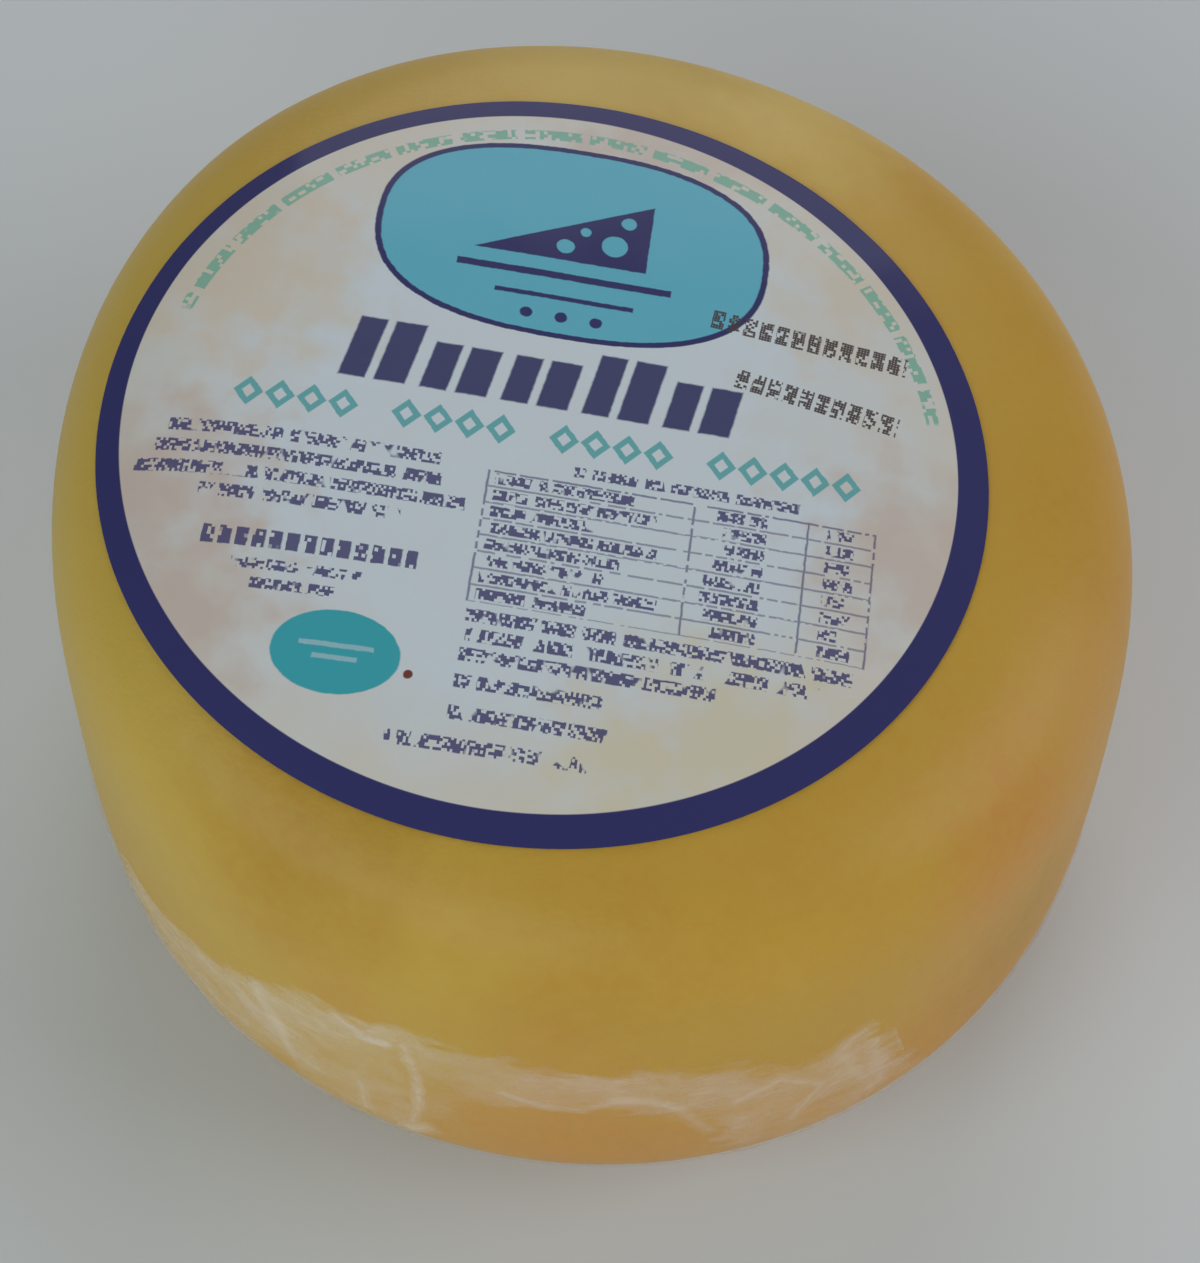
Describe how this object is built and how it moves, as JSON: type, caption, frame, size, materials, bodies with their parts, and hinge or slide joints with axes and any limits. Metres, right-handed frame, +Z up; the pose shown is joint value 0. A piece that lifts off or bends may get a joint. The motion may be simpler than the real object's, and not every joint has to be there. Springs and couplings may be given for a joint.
{
  "type": "cheese wheel",
  "caption": "Small round wheel of yellow cheese in tight clear film, with a round printed paper label on its domed upper face.",
  "frame": {"origin": "on the floor, under the middle of the object's box", "axes": "+Z up out of the labelled face; +X to the right and +Y away as the label's print is read from the near side"},
  "size_m": [0.1606, 0.1668, 0.0873],
  "materials": {
    "rind": "yellow rind under tight clear film, satin",
    "label_paper": "white printed paper, dark blue rim",
    "clear_film": "clear shrink film, milky where it lies in folds"
  },
  "bodies": {
    "root": {"cheese_wheel": "rind", "paper_label": "label_paper"}
  },
  "joints": []
}
